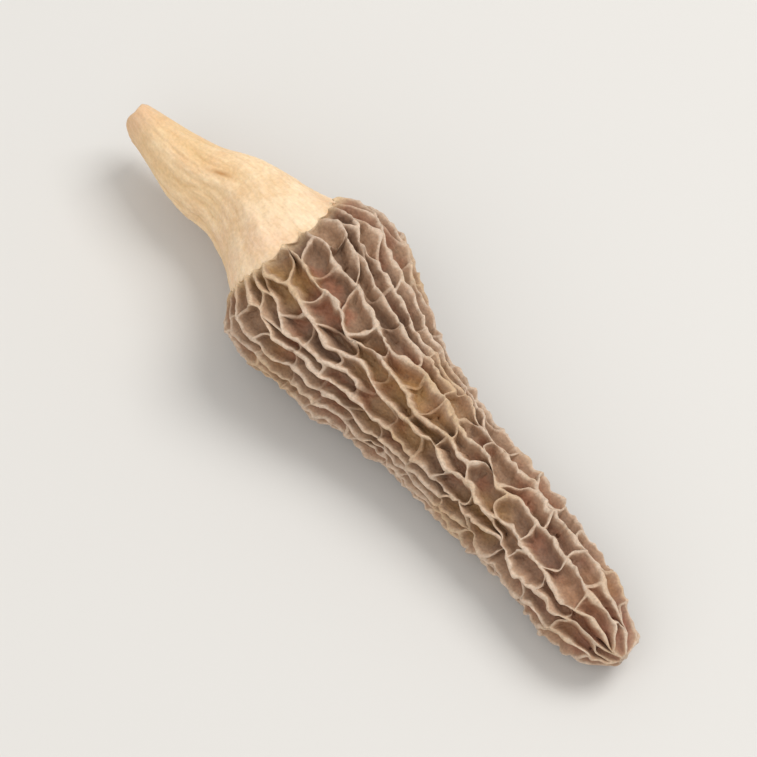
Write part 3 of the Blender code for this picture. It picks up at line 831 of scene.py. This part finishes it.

# Dried stem flesh: a mealy fibrous skin that dried cream to buff, with painted shade darkening
# the furrows of its wrinkles against their paler backs, paler next to the cap, pinker and browner
# towards the cut, and a little see-through.
stem_material, tree, shader = new_material("dried_stem_flesh")
place = node(tree, "ShaderNodeTexCoord", {}, {}, "Object")
along_stem = node(tree, "ShaderNodeSeparateXYZ", {}, {0: place})
furrow_painted_shade, mouth_painted_shade, scar_value = (
    node(tree, "ShaderNodeAttribute", {"attribute_name": name}, {}, "Fac") for name in stem_values)
# Random patterns in the flesh: size in mm, and how fine they go. The fibres are drawn out
# lengthwise to four times their size
lengthwise = node(tree, "ShaderNodeMapping", {}, {"Vector": place, "Scale": (0.25, 1.0, 1.0)})
fibres, meal, patchy, broad = (
    node(tree, "ShaderNodeTexNoise", {}, {"Vector": way, "Scale": 1 / (size * MM), "Detail": detail})
    for way, size, detail in
    ((lengthwise, 0.35, 3.0), (place, 0.3, 3.0), (place, 3.0, 3.0), (place, 7.0, 2.0)))
flesh = lay_colours(tree, linear("#dab786"), (
    # Painted shade: darker in the furrows of the wrinkles, paler on their backs
    (furrow_painted_shade, -0.2, 0.15, 1.0, linear("#ebd0a9")),  # paler on the backs of the wrinkles
    (along_stem, -24 * MM, -14 * MM, 0.65, linear("#eed9bb")),  # and next to the cap
    (patchy, 0.48, 0.7, 0.6, linear("#d8b184")),
    (broad, 0.45, 0.65, 0.6, linear("#e5bfa0")),
    (along_stem, -32.0 * MM, -36.2 * MM, 0.6, linear("#d0ab84")),  # browner at the cut
    (scar_value, 0.0, 1.0, 1.0, linear("#ab7d4a")),
    (fibres, 0.7, 0.3, 0.32, linear("#c99c68")),
    # Painted shade inside the hollow mouth, darkest deepest in
    (mouth_painted_shade, 0.0, 1.0, 1.0, linear("#5d4023")),
))
speckle = node(tree, "ShaderNodeMapRange", {}, {0: meal, 1: 0.3, 2: 0.7, 3: 0.92, 4: 1.06})
flesh = node(tree, "ShaderNodeHueSaturation", {}, {"Value": speckle, "Color": flesh})
fibrous = node(tree, "ShaderNodeBump", {}, {
    "Strength": 0.5, "Distance": 0.08 * MM, "Height": fibres})
mealy = node(tree, "ShaderNodeBump", {}, {
    "Strength": 0.6, "Distance": 0.07 * MM, "Height": meal, "Normal": fibrous})
tree.links.new(flesh, shader.inputs["Base Color"])
tree.links.new(mealy, shader.inputs["Normal"])
shader.inputs["Roughness"].default_value = 0.75
shader.inputs["Subsurface Weight"].default_value = 0.2
shader.inputs["Subsurface Radius"].default_value = (1.0, 0.7, 0.4)
shader.inputs["Subsurface Scale"].default_value = 0.5 * MM
stem.data.materials.append(stem_material)
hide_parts("stem")
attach(stem, "root")

# The ground: one flat sheet of matt pale paper, laid down plain. It is no part of the mushroom,
# and is wide enough to fill every view.
FLOOR_SIZE = 1.5  # m
corners = [(-1, -1, 0), (1, -1, 0), (1, 1, 0), (-1, 1, 0)]
floor_data = bpy.data.meshes.new("floor")
floor_data.from_pydata(np.array(corners) * FLOOR_SIZE / 2, [], [(0, 1, 2, 3)])
floor = bpy.data.objects.new("floor", floor_data)
bpy.context.scene.collection.objects.link(floor)
paper, tree, shader = new_material("pale_paper")
shader.inputs["Base Color"].default_value = linear("#cdcac5")
shader.inputs["Roughness"].default_value = 0.9
floor_data.materials.append(paper)


# The light: a soft square lamp high over the far side, a wider one of the same power further
# off on the near side, and an even white sky
SKY_STRENGTH = 0.68


def add_light(name, direction, distance, size, watts):
    """A square light of this size, at a distance in m from the mushroom and facing it."""
    lamp = bpy.data.lights.new(name, "AREA")
    lamp.size = size
    lamp.energy = watts
    light = bpy.data.objects.new(name, lamp)
    direction = Vector(direction).normalized()
    light.location = direction * distance
    light.rotation_euler = direction.to_track_quat("Z", "Y").to_euler()
    bpy.context.scene.collection.objects.link(light)


add_light("key_light", (0.12, 0.5, 0.85), 0.6, 0.34, 2.3)
add_light("fill_light", (0.3, -0.9, 0.9), 0.8, 0.8, 2.3)
world = bpy.data.worlds.new("studio")
bpy.context.scene.world = world
world.use_nodes = True
world.node_tree.nodes["Background"].inputs[0].default_value = (1, 1, 1, 1)
world.node_tree.nodes["Background"].inputs[1].default_value = SKY_STRENGTH
bpy.context.scene.view_settings.view_transform = "Standard"

# The camera: where the photograph was taken from, with the mushroom filling the frame
AZIMUTH = math.radians(48.7)
ELEVATION = math.radians(57.0)
ROLL = math.radians(4.4)
DISTANCE = 0.4033  # m
TARGET = Vector((0.82, -1.09, 6.0)) * MM
LENS = 208.0  # mm
SENSOR = 36.0  # mm across
camera_data = bpy.data.cameras.new("camera")
camera_data.lens = LENS
camera_data.sensor_width = SENSOR
camera_data.clip_start = 0.01
camera = bpy.data.objects.new("camera", camera_data)
bpy.context.scene.collection.objects.link(camera)
away = Vector((math.sin(AZIMUTH) * math.cos(ELEVATION), -math.cos(AZIMUTH) * math.cos(ELEVATION),
               math.sin(ELEVATION)))
turned = away.to_track_quat("Z", "Y").to_matrix().to_4x4() @ Matrix.Rotation(ROLL, 4, "Z")
camera.matrix_world = Matrix.Translation(TARGET + away * DISTANCE) @ turned
bpy.context.scene.camera = camera
